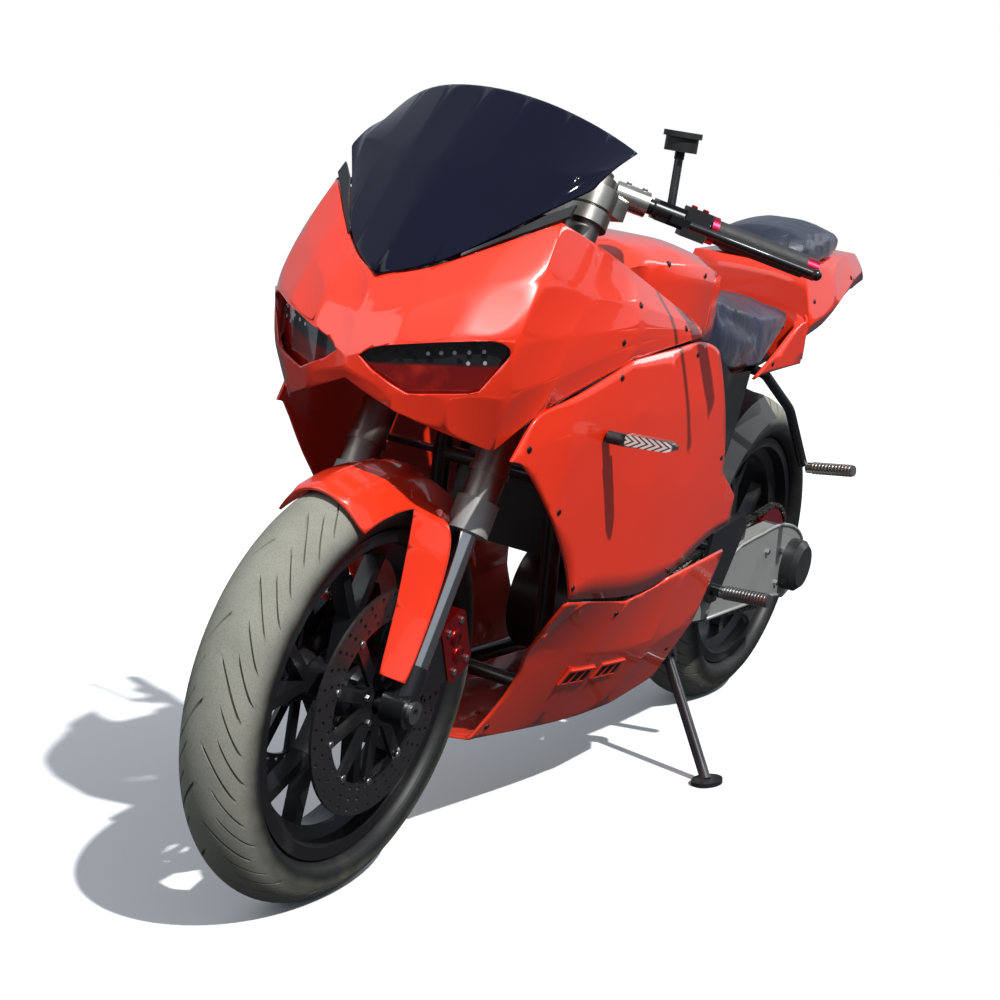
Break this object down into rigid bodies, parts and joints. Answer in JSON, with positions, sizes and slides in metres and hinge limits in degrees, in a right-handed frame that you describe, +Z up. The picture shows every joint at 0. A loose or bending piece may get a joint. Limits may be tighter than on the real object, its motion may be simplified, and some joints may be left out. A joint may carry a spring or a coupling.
{
  "type": "electric sport motorcycle",
  "caption": "Faired electric sport motorcycle on its side stand, with turning wheels, steering that swings, and a side stand that folds up.",
  "frame": {"origin": "on the ground, at the middle of the parked machine's length and width", "axes": "+Z up, +Y towards the tail, +X to the rider's left, which the machine leans towards"},
  "size_m": [0.7895, 2.0679, 1.0949],
  "materials": {
    "red_paint": "gloss",
    "black_paint": "satin",
    "black_cast": "satin",
    "silver_cast": "satin",
    "steel": "brushed",
    "chrome": "polished",
    "tyre": "matt",
    "grip_rubber": "matt",
    "black_plastic": "matt",
    "screen": "gloss",
    "lamp": "clear",
    "tail_lens": "gloss",
    "clear_lens": "gloss",
    "vinyl": "creased",
    "red_anodised": "satin",
    "cell_block": "plain"
  },
  "bodies": {
    "chassis": {"axle_cap": "black_plastic", "battery_pack": "cell_block", "belly_fairing_left": "red_paint", "belly_fairing_right": "red_paint", "dashboard": "black_plastic", "drive_chain": "steel", "drive_motor": "black_cast", "drive_sprocket": "steel", "front_indicators": "clear_lens", "headlights": "lamp", "main_frame": "black_paint", "mirror_pads": "black_plastic", "nose_fairing": "red_paint", "passenger_peg_brackets": "black_cast", "passenger_pegs": "silver_cast", "passenger_seat": "vinyl", "rear_axle": "steel", "rear_caliper": "red_anodised", "rear_hugger": "black_plastic", "rider_peg_brackets": "black_cast", "rider_pegs": "steel", "rider_seat": "vinyl", "shock_absorber": "black_plastic", "side_fairing_left": "red_paint", "side_fairing_right": "red_paint", "swingarm": "silver_cast", "swingarm_pivot": "steel", "tail_fairing": "red_paint", "tail_light": "tail_lens", "tank_cover": "red_paint", "windscreen": "screen"},
    "steering": {"lower_yoke": "black_cast", "top_yoke": "silver_cast", "stem_nut": "black_cast", "fork_tubes": "black_cast", "fork_collars": "silver_cast", "fork_stanchions": "chrome", "fork_axle_lugs": "black_cast", "front_axle": "steel", "front_mudguard": "red_paint", "front_calipers": "red_anodised", "handlebar_clamps": "silver_cast", "handlebars": "black_cast", "grips": "grip_rubber", "grip_collars_and_ends": "red_anodised", "switchgear": "black_plastic", "brake_masters": "black_cast", "fluid_reservoirs": "black_plastic", "brake_levers": "black_cast"},
    "front_wheel": {"front_tyre": "tyre", "front_rim": "black_cast", "front_brake_discs": "steel", "front_disc_carriers": "black_cast"},
    "rear_wheel": {"rear_tyre": "tyre", "rear_rim": "black_cast", "rear_sprocket": "red_anodised", "rear_brake_disc": "steel"},
    "side_stand": {"side_stand": "black_paint"}
  },
  "joints": [
    {"name": "steering", "type": "hinge", "parent": "chassis", "child": "steering", "pos_m": [-0.01707, -0.45843, 0.80857], "axis": [0.1704, 0.4226, 0.8901], "range_deg": [-25, 25]},
    {"name": "front_wheel_spin", "type": "hinge", "parent": "steering", "child": "front_wheel", "pos_m": [-0.11679, -0.741, 0.28777], "axis": [0.9822, 0, -0.1881], "continuous": true},
    {"name": "rear_wheel_spin", "type": "hinge", "parent": "chassis", "child": "rear_wheel", "pos_m": [-0.11453, 0.589, 0.29956], "axis": [0.9822, 0, -0.1881], "continuous": true},
    {"name": "side_stand_fold", "type": "hinge", "parent": "chassis", "child": "side_stand", "pos_m": [-0.0079, 0.085, 0.18649], "axis": [0.9818, 0, 0.19], "range_deg": [0, 105]}
  ]
}
